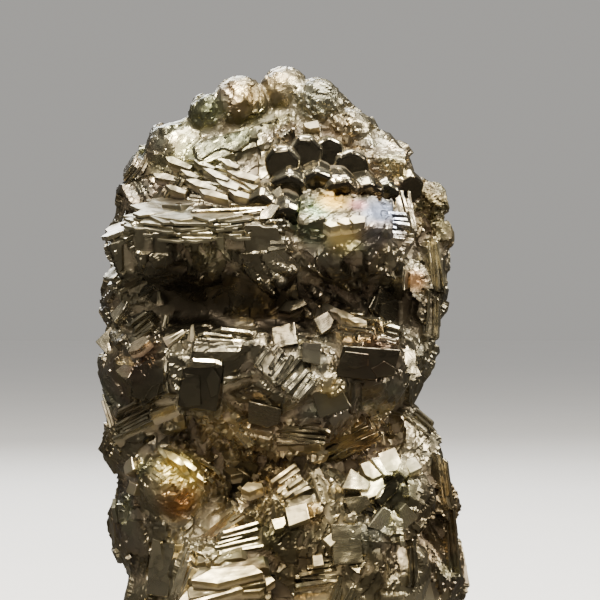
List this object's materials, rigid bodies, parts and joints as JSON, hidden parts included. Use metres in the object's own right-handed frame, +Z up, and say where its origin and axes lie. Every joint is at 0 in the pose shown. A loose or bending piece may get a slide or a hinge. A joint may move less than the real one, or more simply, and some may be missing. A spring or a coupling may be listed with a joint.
{
  "type": "bladed pyrite ball",
  "caption": "Natural double ball of intergrown bladed pyrite crystals, with stepped plates, blunt barrels and knobs, on a flat scar.",
  "frame": {"origin": "middle of the bounding box at the flat foot", "axes": "+Z up along the two joined balls, -Y towards the pictured face, +X to that face's right"},
  "size_m": [0.043, 0.039, 0.0773],
  "materials": {
    "pyrite": "dark greyish gold metallic, with bright edges and patches of iridescent tarnish"
  },
  "bodies": {
    "root": {"pyrite_ball": "pyrite"}
  },
  "joints": []
}
